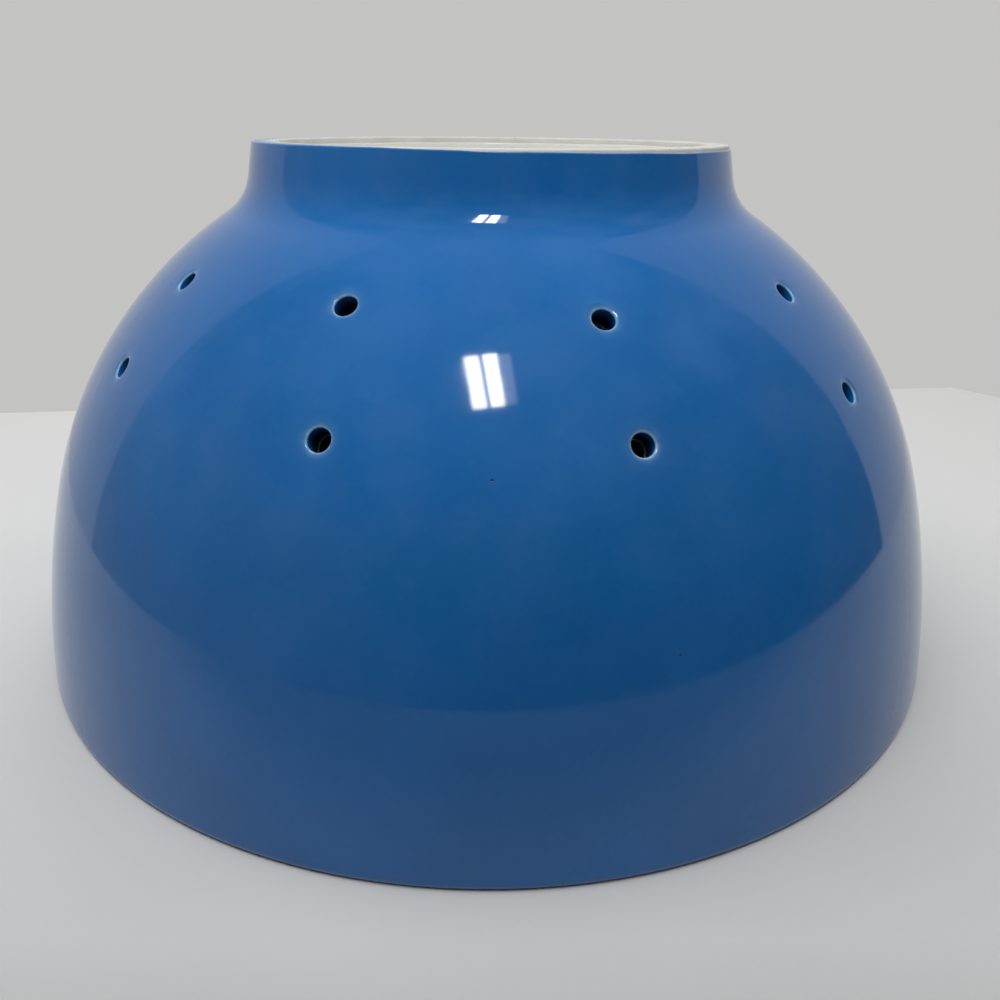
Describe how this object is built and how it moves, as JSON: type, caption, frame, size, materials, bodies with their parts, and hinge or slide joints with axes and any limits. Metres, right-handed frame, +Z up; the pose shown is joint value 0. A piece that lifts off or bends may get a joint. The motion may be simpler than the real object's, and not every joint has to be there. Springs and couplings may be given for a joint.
{
  "type": "colander",
  "caption": "Glazed stoneware colander resting on its rim, a deep round bowl with a foot ring and rings of drain holes bored through its wall and base.",
  "frame": {"origin": "centre of the circle that the rim rests on, the colander turned over on its rim", "axes": "+Z up from the rim to the foot ring along the bowl's axis; -Y is the side the picture was taken from"},
  "size_m": [0.2496, 0.2496, 0.13],
  "materials": {
    "stoneware": "bare fired clay, wiped smooth on the foot ring",
    "blue_glaze": "high gloss blue",
    "white_glaze": "gloss white"
  },
  "bodies": {
    "root": {"stoneware_body": "stoneware", "blue_outer_glaze": "blue_glaze", "white_inside_glaze": "white_glaze", "white_foot_recess_glaze": "white_glaze"}
  },
  "joints": []
}
